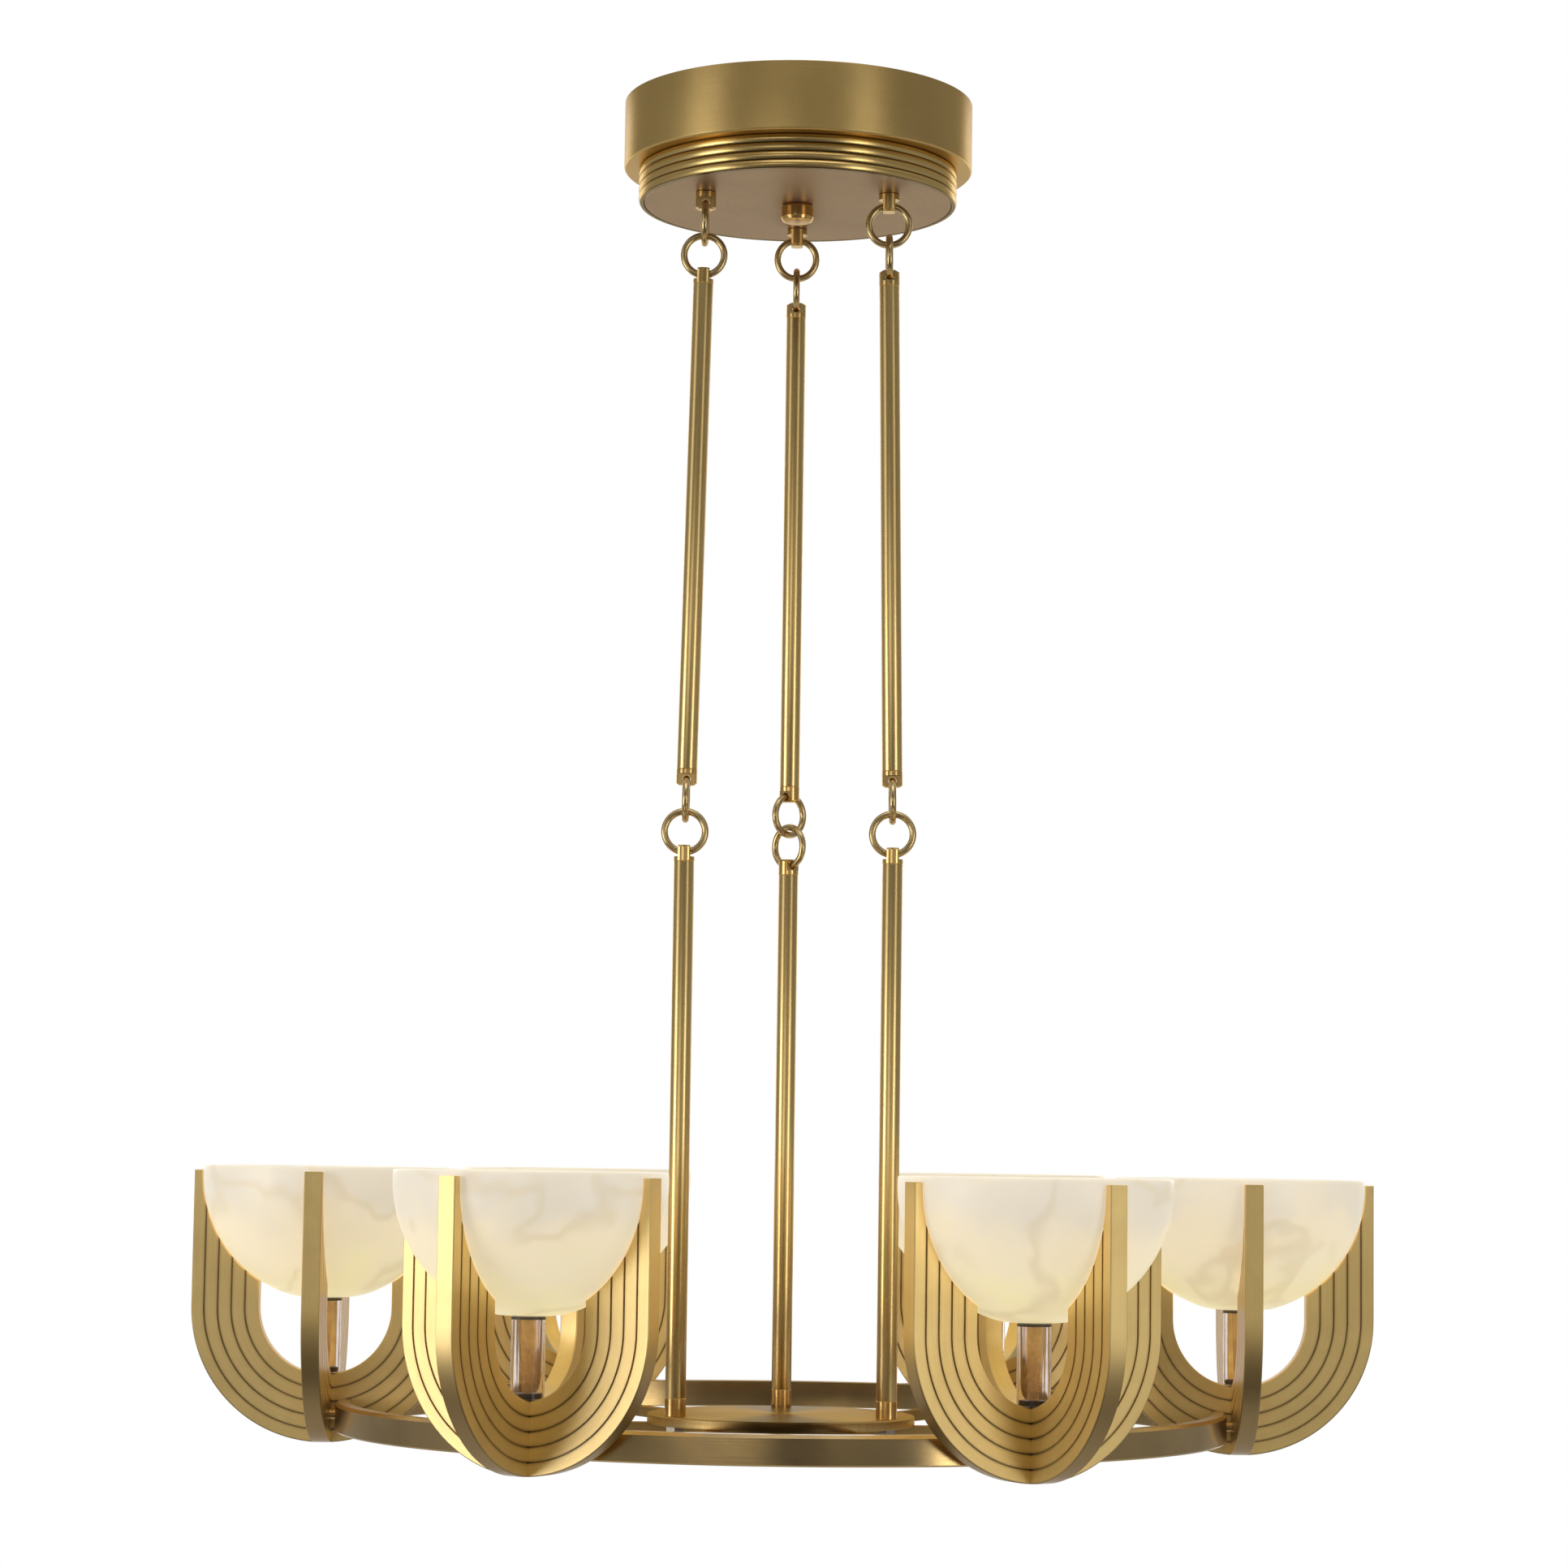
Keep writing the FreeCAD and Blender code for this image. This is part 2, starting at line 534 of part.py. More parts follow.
# ---------------------------------------------------------------- hub and spokes
hub_body = turned("HubTurned", [(q(0), p("hub_under")), (p("hub_r") - 0.8, p("hub_under")), (p("hub_r"), p("hub_under") + 0.8), (p("hub_r"), p("hub_top") - 1.4),
                                (p("hub_r") - 1.4, p("hub_top")), (q(0), p("hub_top"))])
hub_tools = [cylinder("HubHole%d" % i, p("stud_bore_r"), q(20), p("low_r") * math.cos(math.radians(a)), p("low_r") * math.sin(math.radians(a)), p("hub_under") - 5)
             for i, a in enumerate(THIRDS)]
hub_tools += [cylinder("HubTap%d" % i, p("spoke_screw_r") + 0.05, q(6), p("spoke_screw_at") * math.cos(math.radians(a)),
                       p("spoke_screw_at") * math.sin(math.radians(a)), p("hub_under") - 0.5) for i, a in enumerate(SIXTHS)]
node("hub_disc", cut("HubDisc", hub_body, *hub_tools))
st, sw = p("spoke_tall"), p("spoke_wide")
node("spoke_boss", turned("SpokeBoss", [(q(0), p("hub_under") - st), (p("boss_r") - 1, p("hub_under") - st), (p("boss_r"), p("hub_under") - st + 1), (p("boss_r"), p("hub_under")), (q(0), p("hub_under"))]))
# a spoke ends on the rounded foot of its unit's radial plate
spoke_bar = box("SpokeBar", p("unit_r") - p("spoke_start"), sw, st, p("spoke_start"), -sw / 2, p("hub_under") - st)
spoke_round = cylinder("SpokeRound", p("plate_w") + 0.05, q(60), p("unit_r"), -30, p("tip_z") - p("plate_tall") + p("plate_w"), FreeCAD.Rotation(XAX, -90))
spoke_hole = cylinder("SpokeHole", p("spoke_screw_r") + 0.05, q(14), p("spoke_screw_at"), 0, p("hub_under") - st - 3)
spoke = cut("SpokeMaster", spoke_bar, spoke_round, spoke_hole)
node("spokes", group("Spokes", polar("Spoke", spoke, SIXTHS)))
screw = turned("SpokeScrewMaster", [(q(0), p("hub_under") - st - p("spoke_head_tall")), (p("spoke_head_r") - 1, p("hub_under") - st - p("spoke_head_tall")),
                                    (p("spoke_head_r"), p("hub_under") - st - 1), (p("spoke_head_r"), p("hub_under") - st), (p("spoke_screw_r"), p("hub_under") - st),
                                    (p("spoke_screw_r"), p("hub_under") + 5), (q(0), p("hub_under") + 5)])
node("spoke_screws", group("SpokeScrews", polar("SpokeScrew", screw, SIXTHS, p("spoke_screw_at"))))

# ---------------------------------------------------------------- outer band
bo, bi, bt, bh, be = p("band_out"), p("band_in"), p("band_top"), p("band_tall"), p("band_edge")
band = turned("BandTurned", [(bo, bt - be), (bo - be, bt), (bi + 0.8, bt), (bi, bt - 0.8), (bi, bt - bh + 0.8), (bi + 0.8, bt - bh), (bo - 1.2, bt - bh), (bo, bt - bh + 1.2)])
slabs = []
for i, a in enumerate((0.0, 60.0, 120.0)):
    sl = box("Slab%d" % i, q(900), p("plate_thick") + 0.1, q(60), -450, -(p("plate_thick") + 0.1) / 2, bt - 40)
    slabs.append(place("SlabAt%d" % i, sl, FreeCAD.Placement(V(0, 0, 0), FreeCAD.Rotation(ZAX, a))))
node("outer_band", cut("OuterBand", band, *slabs))
spacer_rot = FreeCAD.Rotation(YAX, 90)
spc = []
for i, sgn in enumerate((-1, 1)):
    spc.append(cylinder("SpacerRod%d" % i, p("spacer_r"), p("unit_r") - p("plate_thick") / 2 - (bo - 4), bo - 4, p("spacer_at") * sgn, p("spacer_z"), spacer_rot))
spacer_pair = cut("SpacerPair", group("SpacerRods", spc), cylinder("SpacerRound", bo, q(80), z=p("spacer_z") - 40))
node("band_spacers", group("BandSpacers", polar("Spacer", spacer_pair, SIXTHS)))

# ---------------------------------------------------------------- U plates
# profile in the XZ plane, tips at height 0, symmetric about the unit's axis
W, H, UI, CR, BC = p("plate_w"), p("plate_tall"), p("u_in"), p("cradle_r"), p("bowl_centre")
zc = -H + W
cradle_low = BC - qsqrt(CR * CR - UI * UI)
tip_in = qsqrt(CR * CR - BC * BC)


def u_plate(name, radial):
    b = new_body(name)
    sk = new_sketch(b, name + "_outline", "XZ_Plane")
    outline(sk, [
        ("line", (-W, q(0))),
        ("arc", (-W, zc), (q(0), zc), W, True),
        ("line", (W, zc)),
        ("line", (W, q(0))),
        ("arc", (tip_in, q(0)), (q(0), BC), CR, False),
        ("line", (UI, cradle_low)),
        ("arc", (UI, zc), (q(0), zc), UI, False),
        ("line", (-UI, zc)),
        ("arc", (-UI, cradle_low), (q(0), BC), CR, False),
        ("line", (-tip_in, q(0))),
    ])
    blank = pad(b, name + "_pad", sk, p("plate_thick"), mid=True)
    half = P["plate_thick"].n / 2
    edges = []
    for i, e in enumerate(blank.Shape.Edges):
        if abs(abs(e.CenterOfMass.y) - half) < 1e-6:
            edges.append("Edge%d" % (i + 1))
    ch = b.newObject("PartDesign::Chamfer", name + "_edges")
    ch.Base = (blank, edges)
    bind(ch, "Size", p("edge_cut"))
    b.Tip = ch
    doc.recompute()
    for k, side in enumerate((1, -1)):
        gs = new_sketch(b, "%s_grooves%d" % (name, k), "XZ_Plane", p("plate_thick") / 2 * side)
        for n in range(1, 5):
            rg = W - p("groove_first") - p("groove_pitch") * (n - 1)
            ro = rg + p("groove_wide") / 2
            ri = rg - p("groove_wide") / 2
            top = q(2)
            outline(gs, [("line", (-ro, top)), ("arc", (-ro, zc), (q(0), zc), ro, True), ("line", (ro, zc)), ("line", (ro, top)),
                         ("line", (ri, top)), ("arc", (ri, zc), (q(0), zc), ri, False), ("line", (-ri, zc)), ("line", (-ri, top))])
        pocket(b, "%s_groove_cut%d" % (name, k), gs, p("groove_deep"), reverse=(side < 0))
    ls = new_sketch(b, name + "_lap", "XZ_Plane")
    hx = p("plate_thick") / 2 + p("lap_play") / 2
    if radial:
        polygon(ls, [(-hx, -H - 2), (hx, -H - 2), (hx, p("lap_z") + p("lap_play") / 2), (-hx, p("lap_z") + p("lap_play") / 2)])
    else:
        polygon(ls, [(-hx, p("lap_z") - p("lap_play") / 2), (hx, p("lap_z") - p("lap_play") / 2), (hx, -H + W - UI + 4), (-hx, -H + W - UI + 4)])
    pocket(b, name + "_lap_cut", ls, p("plate_thick") + 4, mid=True)
    return b


radial_body = u_plate("RadialPlate", True)
tangent_body = u_plate("TangentPlate", False)
bolt_way = cylinder("BoltWay", p("bolt_hole_r"), q(70), z=-H - 5)
head_way = cylinder("HeadWay", p("head_hole_r"), p("head_deep") + 5, z=-H - 5)
radial_plate = cut("RadialPlateCut", radial_body, bolt_way)
tangent_plate = cut("TangentPlateCut", tangent_body, bolt_way, head_way)

unit_frames = [FreeCAD.Placement(V(P["unit_r"].n * math.cos(math.radians(a)), P["unit_r"].n * math.sin(math.radians(a)), P["tip_z"].n), FreeCAD.Rotation(ZAX, a)) for a in SIXTHS]
for i, pl in enumerate(unit_frames):
    node("radial_plate_%d" % (i + 1), place("RadialPlate_%d" % (i + 1), radial_plate, pl))
    quarter = FreeCAD.Placement(V(0, 0, 0), FreeCAD.Rotation(ZAX, 90))
    node("tangential_plate_%d" % (i + 1), place("TangentialPlate_%d" % (i + 1), tangent_plate, pl.multiply(quarter)))

# ---------------------------------------------------------------- lamps
def at_units(name, source):
    return [place("%s_%d" % (name, i + 1), source, pl) for i, pl in enumerate(unit_frames)]


bolt = turned("UnitBoltMaster", [(q(0), -H + p("head_deep") - p("head_tall")), (p("head_r") - 0.6, -H + p("head_deep") - p("head_tall")), (p("head_r"), -H + p("head_deep") - p("head_tall") + 0.6),
                                 (p("head_r"), -H + p("head_deep")), (p("bolt_r"), -H + p("head_deep")), (p("bolt_r"), p("tube_foot") + 1.4), (q(0), p("tube_foot") + 1.4)])
node("unit_bolts", group("UnitBolts", at_units("UnitBolt", bolt)))
tf, tt = p("tube_foot"), p("tube_top")
socket = turned("SocketMaster", [(p("bolt_hole_r"), tf), (p("socket_r"), tf), (p("socket_r"), tf + p("socket_tall")), (q(0), tf + p("socket_tall")), (q(0), tf + 1.6), (p("bolt_hole_r"), tf + 1.6)])
node("lamp_sockets", group("LampSockets", at_units("LampSocket", socket)))
glass = turned("GlassMaster", [(p("tube_in"), tf), (p("tube_out"), tf), (p("tube_out"), tt), (p("tube_in"), tt)])
node("glass_tubes", group("GlassTubes", at_units("GlassTube", glass)))
core = turned("CoreMaster", [(q(0), tf + p("socket_tall")), (p("core_low_r"), tf + p("socket_tall")), (p("core_low_r") + 0.4, tf + p("socket_tall") + 8),
                             (p("core_top_r"), tt - 6), (p("core_top_r"), tt), (q(0), tt)])
node("lamp_cores", group("LampCores", at_units("LampCore", core)))
cap = turned("CapMaster", [(q(0), tt), (p("tube_out"), tt), (p("tube_out"), p("cap_top") - 0.5), (p("tube_out") - 0.5, p("cap_top")), (q(0), p("cap_top"))])
node("lamp_caps", group("LampCaps", at_units("LampCap", cap)))

# ---------------------------------------------------------------- bowls
BR, RIM, FLAT, WALL, FLOOR = p("bowl_r"), p("bowl_rim"), p("bowl_flat"), p("bowl_wall"), p("bowl_floor")
bowl_body = new_body("BowlMaster")
bs = new_sketch(bowl_body, "BowlProfile", "XZ_Plane")
ri = BR - WALL
flat_x = qsqrt(BR * BR - (BC - FLAT) * (BC - FLAT))
in_flat = FLAT + FLOOR
in_x = qsqrt(ri * ri - (BC - in_flat) * (BC - in_flat))
rim_out = qsqrt(BR * BR - (RIM - BC) * (RIM - BC))
rim_in = qsqrt(ri * ri - (RIM - BC) * (RIM - BC))
outline(bs, [
    ("line", (q(0), FLAT)),
    ("arc", (flat_x, FLAT), (q(0), BC), BR, True),
    ("line", (rim_out, RIM)),
    ("arc", (rim_in, RIM), (q(0), BC), ri, False),
    ("line", (in_x, in_flat)),
    ("line", (q(0), in_flat)),
])
revolve(bowl_body, "BowlTurn", bs)
for i, pl in enumerate(unit_frames):
    node("alabaster_bowl_%d" % (i + 1), place("AlabasterBowl_%d" % (i + 1), bowl_body, pl))

# ---------------------------------------------------------------- check, write
doc.recompute()
bad = []
for o in doc.Objects:
    if "Invalid" in o.State or "Error" in o.State:
        bad.append("%s: %s" % (o.Name, o.State))
if bad:
    raise RuntimeError("failed objects: " + "; ".join(bad))
for name, o in NODES.items():
    shape = o.Shape
    if shape.isNull() or not shape.isValid() or not shape.Solids:
        raise RuntimeError("bad shape: " + name)

os.makedirs("parts", exist_ok=True)
total = 0
for name, o in NODES.items():
    o.Shape.exportStep("parts/%s.step" % name)
    bb = o.Shape.BoundBox
    print("%-22s %2d solids  %9.1f mm3  x %.1f..%.1f  y %.1f..%.1f  z %.1f..%.1f" % (
        name, len(o.Shape.Solids), o.Shape.Volume, bb.XMin, bb.XMax, bb.YMin, bb.YMax, bb.ZMin, bb.ZMax))
    total += len(o.Shape.Solids)
print(len(NODES), "nodes,", total, "solids, lean", round(lean, 4), "deg; S_A %.2f S_B %.2f S_TOP %.2f S_D %.2f" % (S_A, S_B, S_TOP, S_D))
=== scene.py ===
import json
import math

import bmesh
import bpy
from mathutils import Matrix, Vector, noise


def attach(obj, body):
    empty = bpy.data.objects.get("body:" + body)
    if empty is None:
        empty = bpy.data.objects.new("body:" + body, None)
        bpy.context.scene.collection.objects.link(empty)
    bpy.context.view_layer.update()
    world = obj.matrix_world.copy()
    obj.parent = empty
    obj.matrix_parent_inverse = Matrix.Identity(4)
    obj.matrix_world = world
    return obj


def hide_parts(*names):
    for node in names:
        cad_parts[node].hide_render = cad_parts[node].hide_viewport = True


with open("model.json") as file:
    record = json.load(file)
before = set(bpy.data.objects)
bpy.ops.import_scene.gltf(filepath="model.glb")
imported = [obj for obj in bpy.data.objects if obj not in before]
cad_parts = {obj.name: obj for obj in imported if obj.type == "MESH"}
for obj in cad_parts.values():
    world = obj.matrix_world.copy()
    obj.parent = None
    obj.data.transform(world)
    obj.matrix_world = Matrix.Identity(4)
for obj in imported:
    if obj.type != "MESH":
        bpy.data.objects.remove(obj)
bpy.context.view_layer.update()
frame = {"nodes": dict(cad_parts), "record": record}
nodes = frame["nodes"]
scene = bpy.context.scene
scene.view_settings.view_transform = "Standard"

# ------------------------------------------------------------------ camera
camera = bpy.data.objects.new("Camera", bpy.data.cameras.new("Camera"))
scene.collection.objects.link(camera)
camera.data.sensor_width = 36.0
camera.data.lens = 92.28
camera.data.clip_end = 60.0
turn = Matrix.Rotation(0.0029, 3, "Z") @ Matrix.Rotation(math.pi / 2 + 0.0925, 3, "X") @ Matrix.Rotation(0.0140, 3, "Z")
camera.matrix_world = Matrix.Translation((0.0048, -3.1596, -0.8386)) @ turn.to_4x4()
scene.camera = camera


# ------------------------------------------------------------------ lights
def softbox(name, azimuth, distance, height, wide, tall, watts, colour=(1.0, 1.0, 1.0), aim=-0.75):
    """A soft panel; azimuth 0 is the camera's side, positive to its right."""
    data = bpy.data.lights.new(name, "AREA")
    data.shape = "RECTANGLE"
    data.size = wide
    data.size_y = tall
    data.energy = watts
    data.color = colour
    ob = bpy.data.objects.new(name, data)
    scene.collection.objects.link(ob)
    a = math.radians(azimuth)
    ob.location = (distance * math.sin(a), -distance * math.cos(a), height)
    ob.rotation_euler = (Vector((0, 0, aim)) - ob.location).to_track_quat("-Z", "Y").to_euler()
    return ob


softbox("KeyLeft", -62.0, 3.0, -0.95, 1.15, 1.4, 18.5)
softbox("FillLeft", -62.0, 3.0, 0.55, 1.15, 1.4, 4.6)
softbox("KeyRight", 44.0, 3.0, -0.95, 0.75, 1.4, 10.5)
softbox("FillRight", 44.0, 3.0, 0.55, 0.75, 1.4, 3.2)
softbox("Overhead", 8.0, 1.2, 1.7, 1.8, 1.2, 9.0, aim=-0.5)
softbox("BackLeft", -150.0, 3.2, -0.2, 0.9, 2.2, 10.0)
softbox("BackRight", 150.0, 3.2, -0.2, 0.9, 2.2, 10.0)


# ------------------------------------------------------------------ node helpers
class Graph:
    """Short calls for wiring shader nodes."""

    def __init__(self, tree):
        self.tree = tree

    def add(self, kind, **props):
        node = self.tree.nodes.new(kind)
        for k, v in props.items():
            setattr(node, k, v)
        return node

    def link(self, a, b):
        self.tree.links.new(a, b)

    def feed(self, socket, value):
        if isinstance(value, bpy.types.NodeSocket):
            self.link(value, socket)
        else:
            socket.default_value = value

    def math(self, op, a, b=None, c=None, clamp=False):
        node = self.add("ShaderNodeMath", operation=op, use_clamp=clamp)
        for i, v in enumerate((a, b, c)):
            if v is not None:
                self.feed(node.inputs[i], v)
        return node.outputs[0]

    def steps(self, value, low, high, out_low=0.0, out_high=1.0):
        node = self.add("ShaderNodeMapRange", interpolation_type="SMOOTHSTEP")
        self.feed(node.inputs["Value"], value)
        node.inputs["From Min"].default_value = low
        node.inputs["From Max"].default_value = high
        node.inputs["To Min"].default_value = out_low
        node.inputs["To Max"].default_value = out_high
        return node.outputs["Result"]

    def ramp(self, value, stops, smooth=True):
        node = self.add("ShaderNodeValToRGB")
        node.color_ramp.interpolation = "EASE" if smooth else "LINEAR"
        el = node.color_ramp.elements
        while len(el) < len(stops):
            el.new(0.5)
        for e, (pos, col) in zip(el, stops):
            e.position = pos
            e.color = tuple(col) + (1.0,) if len(col) == 3 else col
        self.feed(node.inputs["Fac"], value)
        return node.outputs["Color"]

    def mix(self, fac, a, b, blend="MIX"):
        node = self.add("ShaderNodeMix", data_type="RGBA", blend_type=blend)
        self.feed(node.inputs[0], fac)
        self.feed(node.inputs[6], a if isinstance(a, bpy.types.NodeSocket) else tuple(a) + (1.0,))
        self.feed(node.inputs[7], b if isinstance(b, bpy.types.NodeSocket) else tuple(b) + (1.0,))
        return node.outputs[2]

    def vector(self, x, y, z):
        node = self.add("ShaderNodeCombineXYZ")
        for i, v in enumerate((x, y, z)):
            self.feed(node.inputs[i], v)
        return node.outputs[0]

    def split(self, vec):
        node = self.add("ShaderNodeSeparateXYZ")
        self.link(vec, node.inputs[0])
        return node.outputs

    def noise(self, vec, scale, detail=2.0, rough=0.5, distortion=0.0):
        node = self.add("ShaderNodeTexNoise")
        self.link(vec, node.inputs["Vector"])
        node.inputs["Scale"].default_value = scale
        node.inputs["Detail"].default_value = detail
        node.inputs["Roughness"].default_value = rough
        node.inputs["Distortion"].default_value = distortion
        return node.outputs["Fac"]


def new_material(name):
    mat = bpy.data.materials.new(name)
    mat.use_nodes = True
    mat.node_tree.nodes.clear()
    g = Graph(mat.node_tree)
    out = g.add("ShaderNodeOutputMaterial")
    bsdf = g.add("ShaderNodeBsdfPrincipled")
    g.link(bsdf.outputs[0], out.inputs["Surface"])
    coord = g.add("ShaderNodeTexCoord").outputs["Object"]
    return mat, g, bsdf, coord


def lacquer(bsdf, coat=0.7):
    bsdf.inputs["Specular Tint"].default_value = (0.82, 0.68, 0.45, 1.0)
    bsdf.inputs["Coat Weight"].default_value = coat
    bsdf.inputs["Coat Roughness"].default_value = 0.28


def polar_of(g, coord):
    x, y, z = g.split(coord)
    r = g.math("SQRT", g.math("ADD", g.math("MULTIPLY", x, x), g.math("MULTIPLY", y, y)))
    a = g.math("ARCTAN2", y, x)
    return x, y, z, r, a


def brass(name, light, dark, rough=0.34, grain="turned", streak=0.35, patina=0.5, bump=0.12, grain_scale=1.0, coat=0.7, valley=None, painted_bowtie_reflection=False):
    """Brushed brass under a thin brown patina. grain: turned (round Z), long
    (along Z), radial (out from Z) or cast (no direction)."""
    mat, g, bsdf, coord = new_material(name)
    x, y, z, r, a = polar_of(g, coord)
    k = grain_scale
    if grain == "turned":
        vec = g.vector(g.math("MULTIPLY", z, 1500 * k), g.math("MULTIPLY", r, 1500 * k), g.math("MULTIPLY", a, 3.0))
    elif grain == "long":
        vec = g.vector(g.math("MULTIPLY", x, 1500 * k), g.math("MULTIPLY", y, 1500 * k), g.math("MULTIPLY", z, 14.0))
    elif grain == "radial":
        vec = g.vector(g.math("MULTIPLY", a, 60 * k), g.math("MULTIPLY", r, 14.0), g.math("MULTIPLY", z, 90.0))
    else:
        vec = g.vector(g.math("MULTIPLY", x, 420 * k), g.math("MULTIPLY", y, 420 * k), g.math("MULTIPLY", z, 420 * k))
    fine = g.noise(vec, 1.0, 3.0, 0.6)
    cloud = g.noise(coord, 16.0, 4.0, 0.55, 0.4)
    worn = g.math("ADD", g.math("MULTIPLY", g.math("SUBTRACT", fine, 0.5), streak * 1.6), g.steps(cloud, 0.35, 0.75, 0.0, patina), clamp=True)
    col = g.mix(worn, light, dark)
    # painted shade: when valley is given, the narrow valleys between the canopy beads are darkened almost to black
    if valley:
        col = g.mix(g.steps(r, valley[0], valley[1]), tuple(0.22 * c for c in dark), col)
    # painted reflection: the disc is darkened where it faces ±Y and left bright to the sides, a bow-tie of shine
    # painted into its colour
    if painted_bowtie_reflection:
        side = g.math("DIVIDE", g.math("ABSOLUTE", x), g.math("ADD", r, 0.001))
        col = g.mix(g.steps(side, 0.15, 0.62), tuple(0.30 * c for c in dark), col)
    g.link(col, bsdf.inputs["Base Color"])
    bsdf.inputs["Metallic"].default_value = 1.0
    g.link(g.math("ADD", rough - 0.05, g.math("MULTIPLY", fine, 0.1)), bsdf.inputs["Roughness"])
    lacquer(bsdf, coat)
    bm = g.add("ShaderNodeBump")
    bm.inputs["Strength"].default_value = bump
    bm.inputs["Distance"].default_value = 0.0004
    g.link(fine, bm.inputs["Height"])
    g.link(bm.outputs[0], bsdf.inputs["Normal"])
    return mat


# ------------------------------------------------------------------ materials
LIGHT = (0.74, 0.57, 0.27)
DARK = (0.33, 0.205, 0.065)
mat_canopy = brass("canopy_brass", (0.62, 0.425, 0.15), (0.38, 0.24, 0.08), rough=0.35, grain="turned", streak=0.25, patina=0.25, bump=0.18, coat=0.3)
# the bead ring's valleys get painted shade, darkened almost to black
mat_beads = brass("canopy_beads_brass", (0.72, 0.50, 0.18), (0.40, 0.255, 0.085), rough=0.26, grain="turned", streak=0.12, patina=0.2, bump=0.05, coat=0.3, valley=(0.1259, 0.1268))
mat_under = brass("canopy_underside", (0.40, 0.295, 0.215), (0.31, 0.225, 0.155), rough=0.42, grain="turned", streak=0.15, patina=0.35, bump=0.06, grain_scale=0.4, coat=0.15)
mat_finial = brass("finial_brass", (0.74, 0.45, 0.14), DARK, rough=0.20, grain="turned", streak=0.08, patina=0.2, bump=0.03)
mat_rod = brass("rod_brass", (0.74, 0.525, 0.20), (0.42, 0.275, 0.09), rough=0.27, grain="long", streak=0.04, patina=0.10, bump=0.004)
mat_rod_end = brass("rod_end_brass", (0.76, 0.50, 0.17), DARK, rough=0.20, grain="cast", streak=0.05, patina=0.15, bump=0.008)
mat_ring = brass("ring_brass", (0.62, 0.45, 0.20), (0.22, 0.145, 0.055), rough=0.23, grain="cast", streak=0.05, patina=0.18, bump=0.004, grain_scale=0.6)
# the hub carries a painted bow-tie reflection in its colour
mat_hub = brass("hub_brass", (0.58, 0.39, 0.155), (0.24, 0.145, 0.05), rough=0.34, grain="radial", streak=0.3, patina=0.35, coat=0.0, painted_bowtie_reflection=True)
# the turned disc spreads its shine across the cutting marks
for node in [n for n in mat_hub.node_tree.nodes if n.type == "BSDF_PRINCIPLED"]:
    way = mat_hub.node_tree.nodes.new("ShaderNodeTangent")
    way.direction_type = "RADIAL"
    way.axis = "Z"
    mat_hub.node_tree.links.new(way.outputs[0], node.inputs["Tangent"])
    node.inputs["Anisotropic"].default_value = 0.75
    node.inputs["Specular Tint"].default_value = (0.70, 0.55, 0.30, 1.0)
mat_band = brass("band_bronze", (0.52, 0.35, 0.13), (0.20, 0.12, 0.04), rough=0.18, grain="turned", streak=0.10, patina=0.4, bump=0.03, coat=1.0)


